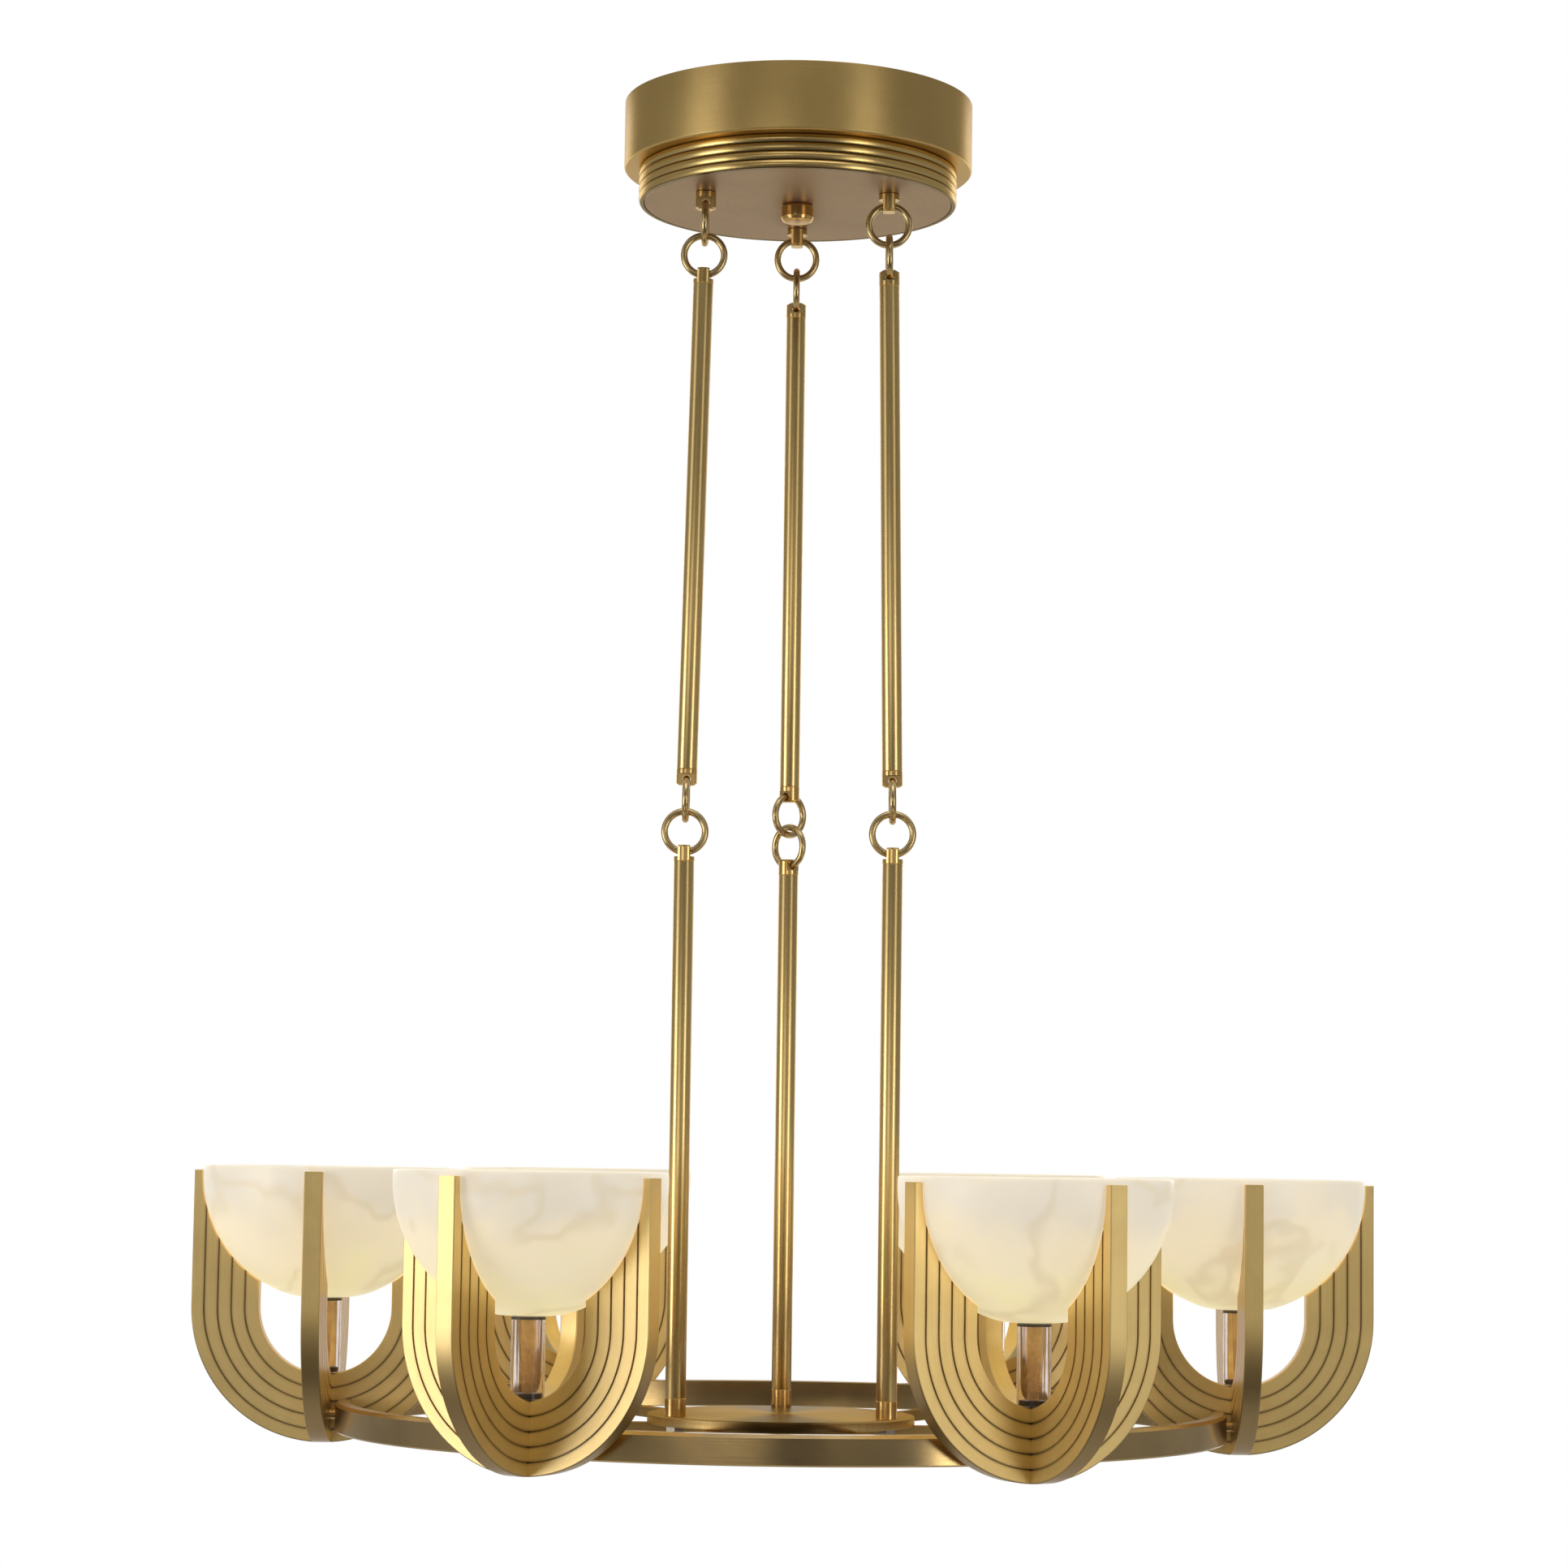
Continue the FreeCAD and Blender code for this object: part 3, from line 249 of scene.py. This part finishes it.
def plate_material(name, radial):
    """Patinated brass of a U plate. The grain runs along the U and the brown
    patina gathers in the four grooves."""
    mat, g, bsdf, coord = new_material(name)
    x, y, z, r, a = polar_of(g, coord)
    # turn each unit onto the +X axis
    sixth = math.pi / 3
    near = g.math("MULTIPLY", g.math("ROUND", g.math("DIVIDE", a, sixth)), sixth)
    left = g.math("SUBTRACT", a, near)
    px = g.math("SUBTRACT", g.math("MULTIPLY", r, g.math("COSINE", left)), 0.356)
    py = g.math("MULTIPLY", r, g.math("SINE", left))
    u, v = (px, py) if radial else (py, px)
    down = g.math("MINIMUM", g.math("SUBTRACT", z, -0.960), 0.0)
    rho = g.math("SQRT", g.math("ADD", g.math("MULTIPLY", u, u), g.math("MULTIPLY", down, down)))
    turn_a = g.math("ARCTAN2", down, u)
    along = g.math("ADD", g.math("MULTIPLY", g.math("MAXIMUM", g.math("SUBTRACT", z, -0.960), 0.0), 11.0), g.math("MULTIPLY", turn_a, 1.1))
    grain_vec = g.vector(g.math("MULTIPLY", rho, 1300.0), g.math("MULTIPLY", v, 1300.0), along)
    fine = g.noise(grain_vec, 1.0, 3.0, 0.6)
    cloud = g.noise(coord, 20.0, 4.0, 0.55, 0.5)
    # the grooves at 94.3, 83.7, 73.1 and 62.5 mm
    t = g.math("DIVIDE", g.math("SUBTRACT", 0.0943, rho), 0.0106)
    nearest = g.math("MINIMUM", g.math("MAXIMUM", g.math("ROUND", t), 0.0), 3.0)
    off = g.math("MULTIPLY", g.math("ABSOLUTE", g.math("SUBTRACT", t, nearest)), 10.6)
    wobble = g.math("MULTIPLY", g.math("SUBTRACT", g.noise(coord, 90.0, 2.0), 0.5), 0.3)
    groove = g.steps(g.math("ADD", off, wobble), 0.45, 0.80, 1.0, 0.0)
    halo = g.steps(g.math("ADD", off, wobble), 0.7, 2.8, 1.0, 0.0)
    face = g.steps(g.math("ABSOLUTE", v), 0.0060, 0.0066, 0.0, 1.0)
    groove = g.math("MULTIPLY", groove, g.steps(g.math("ABSOLUTE", v), 0.0054, 0.0060, 0.0, 1.0))
    halo = g.math("MULTIPLY", halo, face)
    light, mid, dark = (0.92, 0.68, 0.27), (0.72, 0.50, 0.175), (0.12, 0.07, 0.02)
    worn = g.math("ADD", g.math("MULTIPLY", g.math("SUBTRACT", fine, 0.5), 0.55), g.steps(cloud, 0.3, 0.75, 0.0, 0.45), clamp=True)
    col = g.mix(worn, light, mid)
    col = g.mix(g.math("MULTIPLY", halo, 0.22), col, (0.34, 0.23, 0.09))
    # painted shade: the lower half of the outer rim is darkened to brown
    rim = g.math("MULTIPLY", g.steps(rho, 0.1028, 0.1038), g.steps(z, -0.950, -1.015))
    col = g.mix(g.math("MULTIPLY", rim, 0.8), col, (0.27, 0.165, 0.06))
    col = g.mix(g.math("MULTIPLY", groove, 0.9), col, dark)
    g.link(col, bsdf.inputs["Base Color"])
    bsdf.inputs["Metallic"].default_value = 1.0
    g.link(g.math("ADD", g.math("ADD", 0.41, g.math("MULTIPLY", fine, 0.10)), g.math("MULTIPLY", groove, 0.25)), bsdf.inputs["Roughness"])
    lacquer(bsdf)
    bm = g.add("ShaderNodeBump")
    bm.inputs["Strength"].default_value = 0.16
    bm.inputs["Distance"].default_value = 0.0004
    g.link(fine, bm.inputs["Height"])
    g.link(bm.outputs[0], bsdf.inputs["Normal"])
    return mat


mat_radial = plate_material("plate_bronze_radial", True)
mat_tangent = plate_material("plate_bronze_tangential", False)


def steel(name):
    mat, g, bsdf, coord = new_material(name)
    n = g.noise(coord, 700.0, 3.0)
    g.link(g.mix(n, (0.36, 0.32, 0.27), (0.24, 0.215, 0.18)), bsdf.inputs["Base Color"])
    bsdf.inputs["Metallic"].default_value = 1.0
    g.link(g.math("ADD", 0.3, g.math("MULTIPLY", n, 0.15)), bsdf.inputs["Roughness"])
    return mat


def plastic(name, a, b, rough):
    mat, g, bsdf, coord = new_material(name)
    n = g.noise(coord, 400.0, 4.0)
    g.link(g.mix(n, a, b), bsdf.inputs["Base Color"])
    g.link(g.math("ADD", rough, g.math("MULTIPLY", n, 0.1)), bsdf.inputs["Roughness"])
    return mat


mat_steel = steel("hidden_steel")
mat_terminal = plastic("terminal_plastic", (0.85, 0.84, 0.80), (0.76, 0.75, 0.71), 0.5)
mat_cap = plastic("lamp_cap_dark", (0.10, 0.075, 0.05), (0.05, 0.038, 0.028), 0.35)


def glass_material():
    mat, g, bsdf, coord = new_material("clear_glass")
    x, y, z, r, a = polar_of(g, coord)
    n = g.noise(coord, 120.0, 3.0)
    g.link(g.mix(g.steps(n, 0.4, 0.8), (0.90, 0.85, 0.82), (0.80, 0.72, 0.68)), bsdf.inputs["Base Color"])
    bsdf.inputs["Transmission Weight"].default_value = 1.0
    bsdf.inputs["IOR"].default_value = 1.18
    g.link(g.math("ADD", 0.06, g.math("MULTIPLY", g.steps(n, 0.45, 0.8), 0.12)), bsdf.inputs["Roughness"])
    return mat


def core_material():
    """The lit core: amber, brighter in its middle."""
    mat, g, bsdf, coord = new_material("amber_core")
    x, y, z = g.split(coord)
    up = g.steps(z, -1.008, -0.955)
    flicker = g.noise(coord, 260.0, 3.0)
    fac = g.math("ADD", g.math("MULTIPLY", up, 0.7), g.math("MULTIPLY", flicker, 0.5), clamp=True)
    col = g.ramp(fac, [(0.0, (0.20, 0.10, 0.04)), (0.45, (0.52, 0.29, 0.09)), (1.0, (0.78, 0.50, 0.16))])
    g.link(col, bsdf.inputs["Base Color"])
    g.link(col, bsdf.inputs["Emission Color"])
    bsdf.inputs["Emission Strength"].default_value = 0.30
    g.link(g.math("ADD", 0.42, g.math("MULTIPLY", flicker, 0.2)), bsdf.inputs["Alpha"])
    bsdf.inputs["Roughness"].default_value = 0.4
    return mat


def alabaster_material():
    """Lit stone: warm and bright low down over the lamp, greyer towards the
    rim, with soft cloudy veins. Coordinates start at the bowl's own centre."""
    mat, g, bsdf, coord = new_material("alabaster")
    x, y, z = g.split(coord)
    warp = g.add("ShaderNodeTexNoise")
    g.link(coord, warp.inputs["Vector"])
    warp.inputs["Scale"].default_value = 9.0
    warp.inputs["Detail"].default_value = 3.0
    swirl = g.add("ShaderNodeVectorMath", operation="MULTIPLY_ADD")
    g.link(warp.outputs["Color"], swirl.inputs[0])
    swirl.inputs[1].default_value = (0.09, 0.09, 0.05)
    g.link(coord, swirl.inputs[2])
    cloud = g.noise(swirl.outputs[0], 15.0, 5.0, 0.6)
    veins = g.noise(swirl.outputs[0], 11.0, 2.5, 0.5)
    vein = g.steps(g.math("ABSOLUTE", g.math("SUBTRACT", veins, 0.5)), 0.0, 0.042, 1.0, 0.0)
    fine = g.noise(coord, 210.0, 4.0, 0.6)
    # 0 at the rim, 1 at the bottom: painted lamp light, the stone warmer and brighter low down over the lamp
    low = g.steps(z, 0.004, -0.092)
    lamp_light_and_cloud = g.math("ADD", g.math("MULTIPLY", low, 0.8), g.math("MULTIPLY", g.math("SUBTRACT", cloud, 0.5), 0.95), clamp=True)
    # the stone's colour carries painted lamp light, greyer at the rim and warm yellow towards the bottom, over its
    # cloudy tone
    stone = g.ramp(lamp_light_and_cloud, [(0.0, (0.72, 0.675, 0.60)), (0.45, (0.77, 0.66, 0.52)), (1.0, (0.78, 0.65, 0.40))])
    stone = g.mix(g.math("MULTIPLY", vein, 0.24), stone, (0.60, 0.50, 0.36))
    stone = g.mix(g.math("MULTIPLY", g.steps(fine, 0.45, 0.7), 0.06), stone, (0.70, 0.65, 0.60))
    g.link(stone, bsdf.inputs["Base Color"])
    # painted glow: the stone gets emission of its own, strongest low down, standing in for lamp light shining through
    # it
    painted_lamp_glow = g.ramp(lamp_light_and_cloud, [(0.0, (0.74, 0.67, 0.51)), (0.4, (0.93, 0.83, 0.55)), (1.0, (1.0, 0.93, 0.52))])
    painted_lamp_glow = g.mix(g.math("MULTIPLY", vein, 0.32), painted_lamp_glow, (0.60, 0.47, 0.26))
    g.link(painted_lamp_glow, bsdf.inputs["Emission Color"])
    bsdf.inputs["Emission Strength"].default_value = 0.58
    g.link(g.math("ADD", 0.30, g.math("MULTIPLY", fine, 0.2)), bsdf.inputs["Roughness"])
    bsdf.inputs["Subsurface Weight"].default_value = 0.35
    bsdf.inputs["Subsurface Radius"].default_value = (0.02, 0.012, 0.006)
    bsdf.inputs["Subsurface Scale"].default_value = 0.5
    bm = g.add("ShaderNodeBump")
    bm.inputs["Strength"].default_value = 0.05
    bm.inputs["Distance"].default_value = 0.0004
    g.link(fine, bm.inputs["Height"])
    g.link(bm.outputs[0], bsdf.inputs["Normal"])
    return mat


mat_glass = glass_material()
mat_core = core_material()
mat_stone = alabaster_material()

# every CAD node that stays in view takes its material by the record's slot
SLOT_MATERIAL = {
    "canopy_brass": mat_canopy, "canopy_underside": mat_under, "finial_brass": mat_finial, "rod_brass": mat_rod,
    "rod_end_brass": mat_rod_end, "ring_brass": mat_ring, "hub_brass": mat_hub, "band_bronze": mat_band,
    "hidden_steel": mat_steel, "terminal_plastic": mat_terminal, "lamp_cap_dark": mat_cap, "clear_glass": mat_glass,
    "amber_core": mat_core, "alabaster": mat_stone,
}
SLOT_OF = {s["node"]: s["material_slot"] for s in frame["record"]["subparts"]}
for name, ob in nodes.items():
    if name.startswith("radial_plate"):
        mat = mat_radial
    elif name.startswith("tangential_plate"):
        mat = mat_tangent
    else:
        mat = SLOT_MATERIAL[SLOT_OF[name]]
    if not ob.material_slots:
        ob.data.materials.append(mat)
    for s in ob.material_slots:
        s.material = mat


# ------------------------------------------------------------------ mesh helpers
def object_of(name, verts, faces, sharp=32.0):
    me = bpy.data.meshes.new(name)
    bm = bmesh.new()
    vs = [bm.verts.new(v) for v in verts]
    for f in faces:
        bm.faces.new([vs[i] for i in f])
    bmesh.ops.recalc_face_normals(bm, faces=bm.faces[:])
    bm.to_mesh(me)
    bm.free()
    for poly in me.polygons:
        poly.use_smooth = True
    me.set_sharp_from_angle(angle=math.radians(sharp))
    ob = bpy.data.objects.new(name, me)
    scene.collection.objects.link(ob)
    return ob


def rounded(points, n=5):
    """Closed outline of (r, z, fillet) in mm with each corner rounded."""
    out = []
    count = len(points)
    for i, (x, z, f) in enumerate(points):
        p = Vector((x, z))
        a = Vector(points[i - 1][:2]) - p
        b = Vector(points[(i + 1) % count][:2]) - p
        if f <= 0 or a.length < 1e-6 or b.length < 1e-6:
            out.append((x, z))
            continue
        a_n, b_n = a.normalized(), b.normalized()
        half = math.acos(max(-1, min(1, a_n.dot(b_n)))) / 2
        if half > math.pi / 2 - 0.02:
            out.append((x, z))
            continue
        reach = min(f / math.tan(half), a.length * 0.49, b.length * 0.49)
        f = reach * math.tan(half)
        centre = p + (a_n + b_n).normalized() * (f / math.sin(half))
        s, e = p + a_n * reach - centre, p + b_n * reach - centre
        turn_by = math.pi - 2 * half
        sign = 1 if s.x * e.y - s.y * e.x > 0 else -1
        for k in range(n + 1):
            t = sign * turn_by * k / n
            c, d = math.cos(t), math.sin(t)
            q = centre + Vector((s.x * c - s.y * d, s.x * d + s.y * c))
            out.append((q.x, q.y))
    return out


def lathe(name, outline, seg=128, sharp=32.0):
    """Spins a closed outline of (r, z) in mm round Z; result in metres."""
    verts, rows = [], []
    for r, z in outline:
        if r < 1e-6:
            rows.append([len(verts)] * seg)
            verts.append((0.0, 0.0, z / 1000))
        else:
            row = []
            for k in range(seg):
                a = 2 * math.pi * k / seg
                row.append(len(verts))
                verts.append((r * math.cos(a) / 1000, r * math.sin(a) / 1000, z / 1000))
            rows.append(row)
    faces = []
    for i in range(len(rows)):
        p, q = rows[i], rows[(i + 1) % len(rows)]
        if p[0] == p[1] and q[0] == q[1]:
            continue
        for k in range(seg):
            m = (k + 1) % seg
            ring = [p[k], p[m], q[m], q[k]]
            clean = []
            for v in ring:
                if v not in clean:
                    clean.append(v)
            if len(clean) > 2:
                faces.append(clean)
    return object_of(name, verts, faces, sharp)


def torus(name, big, small, seg=96, tube=32):
    """A ring standing in the XZ plane, in mm."""
    verts, faces = [], []
    for i in range(seg):
        a = 2 * math.pi * i / seg
        for j in range(tube):
            b = 2 * math.pi * j / tube
            r = big + small * math.cos(b)
            verts.append((r * math.cos(a) / 1000, small * math.sin(b) / 1000, r * math.sin(a) / 1000))
    for i in range(seg):
        for j in range(tube):
            faces.append([i * tube + j, ((i + 1) % seg) * tube + j, ((i + 1) % seg) * tube + (j + 1) % tube, i * tube + (j + 1) % tube])
    return object_of(name, verts, faces)


def settle(ob, body, mat, slot, *stands_for, place=None):
    """Places a finished piece and hangs it on its body."""
    if place is not None:
        ob.matrix_world = place
    ob.data.materials.clear()
    ob.data.materials.append(mat)
    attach(ob, body)
    here = [n for n in stands_for if n in nodes]
    if here:
        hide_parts(*here)
    return ob


# ------------------------------------------------------------------ canopy
CM = 54.0
drum = rounded([(139.0, 0.0, 0.4), (139.0, -CM + 1.3, 0.8), (137.7, -CM, 0.8), (118.0, -CM, 0.3), (118.0, -CM + 1.6, 0.3), (137.4, -CM + 1.6, 0.8), (137.4, 0.0, 0.2)])
settle(lathe("canopy_drum", drum, 256), "canopy", mat_canopy, "canopy_brass", "canopy_shell")

ring_pts = []
pitch = 27.0 / 4
rel = 1.3
for k in range(4):
    top = -CM - pitch * k
    for j in range(13):
        t = j / 13.0
        # rounded bead with a narrow valley between neighbours
        ring_pts.append((125.9 + rel * math.sin(math.pi * t) ** 0.8, top - pitch * t))
ring_pts += [(125.9, -81.0), (123.2, -81.0), (123.2, -77.95), (117.2, -77.95), (117.2, -76.4), (124.2, -76.4), (124.2, -CM)]
settle(lathe("canopy_bead_ring", ring_pts, 256, sharp=50.0), "canopy", mat_beads, "canopy_brass", "canopy_beads")

fin = rounded([(0.0, -94.5, 0), (9.6, -94.5, 1.2), (12.0, -93.4, 1.2), (13.0, -90.6, 1.6), (13.0, -83.0, 0.6), (11.8, -81.0, 0.6), (5.0, -81.0, 0), (5.0, -71.0, 0), (0.0, -71.0, 0)])
settle(lathe("finial_knob", fin, 96), "canopy", mat_finial, "finial_brass", "center_finial")

# ------------------------------------------------------------------ chains
HANG_R, LOW_R, LONG, HANG_Z = 83.5, 93.5, 513.9, -90.0
RING_R, WIRE = 15.8, 2.7
LEAN = math.asin((LOW_R - HANG_R) / LONG)
AZ = {"right": 330.0, "left": 210.0, "back": 90.0}
TOP_TURN = {"left": (90.0, 0.0), "right": (0.0, 90.0), "back": (0.0, 90.0)}
MID_TURN = {"left": (90.0, 0.0), "right": (90.0, 0.0), "back": (45.0, -45.0)}
HOLES = {"right": 398.9, "left": 399.4, "back": 399.4}
S_A = RING_R
S_B = 2 * RING_R - (2 * WIRE + 0.3) + RING_R
S_TOP = 4 * RING_R - (2 * WIRE + 0.3)
S_D = LONG - RING_R


def chain_place(side, dist, turn_by=0.0):
    a = math.radians(AZ[side])
    out = Vector((math.cos(a), math.sin(a), 0))
    start = Vector((HANG_R * out.x, HANG_R * out.y, HANG_Z))
    tilt = Matrix.Rotation(-LEAN, 3, Vector((-out.y, out.x, 0)))
    down = tilt @ Vector((0, 0, -1))
    rot = tilt @ Matrix.Rotation(math.radians(turn_by), 3, "Z")
    return Matrix.Translation((start + down * dist) / 1000) @ rot.to_4x4()


def ring_at(name, side, dist, turn_by, body, *stands_for):
    return settle(torus(name, RING_R, WIRE), body, mat_ring, "ring_brass", *stands_for, place=chain_place(side, dist, turn_by))


for side in ("left", "right", "back"):
    ring_at("ring_upper_" + side, side, S_A, TOP_TURN[side][0], "canopy", "upper_rings")
    ring_at("ring_link_" + side, side, S_B, TOP_TURN[side][1], "link_" + side, "link_ring_" + side)
    mid_body = "rod_back" if side == "back" else "middle_" + side
    ring_at("ring_middle_" + side, side, S_TOP + HOLES[side] + RING_R, MID_TURN[side][0], mid_body, "middle_ring_" + side)
    ring_at("ring_lower_" + side, side, S_D, MID_TURN[side][1], "platform", "lower_rings")
    # the rod's tube, with its ends eased
    tall = HOLES[side] - 15.0
    tube = rounded([(7.9, 0.0, 0.35), (7.9, tall, 0.35), (6.0, tall, 0), (6.0, 0.0, 0)], 3)
    settle(lathe("rod_upper_" + side, tube, 64), "rod_" + side, mat_rod, "rod_brass", "upper_rod_" + side,
           place=chain_place(side, S_TOP + 7.5 + tall))

HUB_TOP, FOOT = -1037.6, 13.8
low_z0, low_z1 = HUB_TOP + FOOT, -603.8 - 7.5
for side in ("left", "right", "back"):
    a = math.radians(AZ[side])
    tube = rounded([(7.9, low_z0, 0.35), (7.9, low_z1, 0.35), (6.0, low_z1, 0), (6.0, low_z0, 0)], 3)
    settle(lathe("rod_lower_" + side, tube, 64), "platform", mat_rod, "rod_brass", "lower_rods",
           place=Matrix.Translation((LOW_R * math.cos(a) / 1000, LOW_R * math.sin(a) / 1000, 0)))

# ------------------------------------------------------------------ hub
hub = rounded([(0.0, -1045.3, 0), (104.0, -1045.3, 0.8), (104.0, -1037.6, 1.6), (0.0, -1037.6, 0)], 6)
settle(lathe("hub_plate", hub, 192), "platform", mat_hub, "hub_brass", "hub_disc")

# ------------------------------------------------------------------ bowls
BOWL_R, BOWL_IN = 97.4, 88.4
TIP, BOWL_C = -854.7, -2.6


def bowl_outline():
    rim = 4.0 - BOWL_C
    pts = []
    a0 = math.asin(rim / BOWL_R)
    count = 64
    for k in range(count + 1):
        a = a0 - (a0 + math.pi / 2) * k / count
        r, z = BOWL_R * math.cos(a), BOWL_R * math.sin(a)
        if k == count:
            r = 0.0
        # the foot is ground flat; its corner is eased
        d = z + 95.0
        z = -95.0 + 0.5 * (d + math.sqrt(d * d + 1.0))
        pts.append((r, z))
    first = pts[0]
    outer = [(first[0] - 1.1, rim), (first[0] - 0.45, rim - 0.16), (first[0] - 0.1, rim - 0.6)] + [p for p in pts[1:]]
    a1 = math.asin(rim / BOWL_IN)
    inner = []
    for k in range(count + 1):
        a = -math.pi / 2 + (a1 + math.pi / 2) * k / count
        r, z = BOWL_IN * math.cos(a), BOWL_IN * math.sin(a)
        if k == 0:
            r = 0.0
        d = z + 84.0
        z = -84.0 + 0.5 * (d + math.sqrt(d * d + 1.0))
        inner.append((r, z))
    last = inner[-1]
    inner = inner[:-1] + [(last[0] + 0.1, rim - 0.6), (last[0] + 0.45, rim - 0.16), (last[0] + 1.1, rim)]
    return outer + inner


# quarter turns, so that neighbouring bowls show different veins
QUARTERS = (0, 1, 0, 1, 2, 3)
for i in range(6):
    a = math.radians(60.0 * i)
    bowl = lathe("stone_bowl_%d" % (i + 1), bowl_outline(), 160, sharp=60.0)
    at = Matrix.Translation((0.356 * math.cos(a), 0.356 * math.sin(a), (TIP + BOWL_C) / 1000))
    settle(bowl, "bowl_%d" % (i + 1), mat_stone, "alabaster", "alabaster_bowl_%d" % (i + 1), place=at @ Matrix.Rotation(math.pi / 2 * QUARTERS[i], 4, "Z"))

# ------------------------------------------------------------------ floor, world
floor = object_of("Floor", [(0.95 * math.cos(math.pi * k / 32), 0.95 * math.sin(math.pi * k / 32), -2.9) for k in range(64)], [list(range(64))])
fmat, g, bsdf, coord = new_material("floor_pale")
n = g.noise(coord, 3.0, 3.0)
g.link(g.mix(n, (0.80, 0.80, 0.79), (0.74, 0.74, 0.73)), bsdf.inputs["Base Color"])
bsdf.inputs["Roughness"].default_value = 0.8
floor.data.materials.append(fmat)

world = bpy.data.worlds.new("Studio")
scene.world = world
world.use_nodes = True
world.node_tree.nodes.clear()
g = Graph(world.node_tree)
out = g.add("ShaderNodeOutputWorld")
back = g.add("ShaderNodeBackground")
g.link(back.outputs[0], out.inputs["Surface"])
x, y, z = g.split(g.add("ShaderNodeTexCoord").outputs["Generated"])
# 0.5 is the camera's side, 0 and 1 the side behind the object
around = g.math("ADD", g.math("DIVIDE", g.math("ARCTAN2", x, g.math("MULTIPLY", y, -1.0)), 2 * math.pi), 0.5)
W = (1.0, 1.0, 1.0)


def grey(v, warm=0.0):
    return (v, v * (1 - 0.03 * warm), v * (1 - 0.08 * warm))


walls = g.ramp(around, [(0.0, W), (0.042, W), (0.056, grey(0.36)), (0.20, grey(0.28)), (0.36, grey(0.30, 1)), (0.42, grey(0.13, 1)), (0.5, grey(0.05, 1)), (0.59, grey(0.12, 1)), (0.66, grey(0.28, 1)), (0.80, grey(0.28)),
                        (0.944, grey(0.36)), (0.958, W)], smooth=False)
# two pale strips beside the camera, at and above the height of the bowls
strip = g.ramp(around, [(0.0, grey(0.0)), (0.40, grey(0.0)), (0.45, grey(2.0, 1)), (0.485, grey(1.7, 1)), (0.5, grey(0.0)), (0.515, grey(0.40, 1)), (0.54, grey(0.65, 1)), (0.60, grey(0.0)), (1.0, grey(0.0))], smooth=False)
walls = g.mix(g.steps(z, -0.062, -0.012), walls, g.mix(1.0, walls, strip, "ADD"))
# the camera's side is darker above and below eye level
front = g.steps(g.math("ABSOLUTE", g.math("SUBTRACT", around, 0.5)), 0.30, 0.14)
high = g.math("MULTIPLY", front, g.steps(z, 0.03, 0.20))
sky = g.mix(high, walls, (0.155, 0.15, 0.138))
up = g.steps(z, 0.40, 0.9)
sky = g.mix(up, sky, (0.60, 0.60, 0.60))
down = g.steps(z, -0.12, -0.55)
sky = g.mix(down, sky, (0.50, 0.49, 0.48))
sky = g.mix(g.math("MULTIPLY", down, front), sky, (0.10, 0.095, 0.09))
g.link(sky, back.inputs["Color"])
back.inputs["Strength"].default_value = 1.0
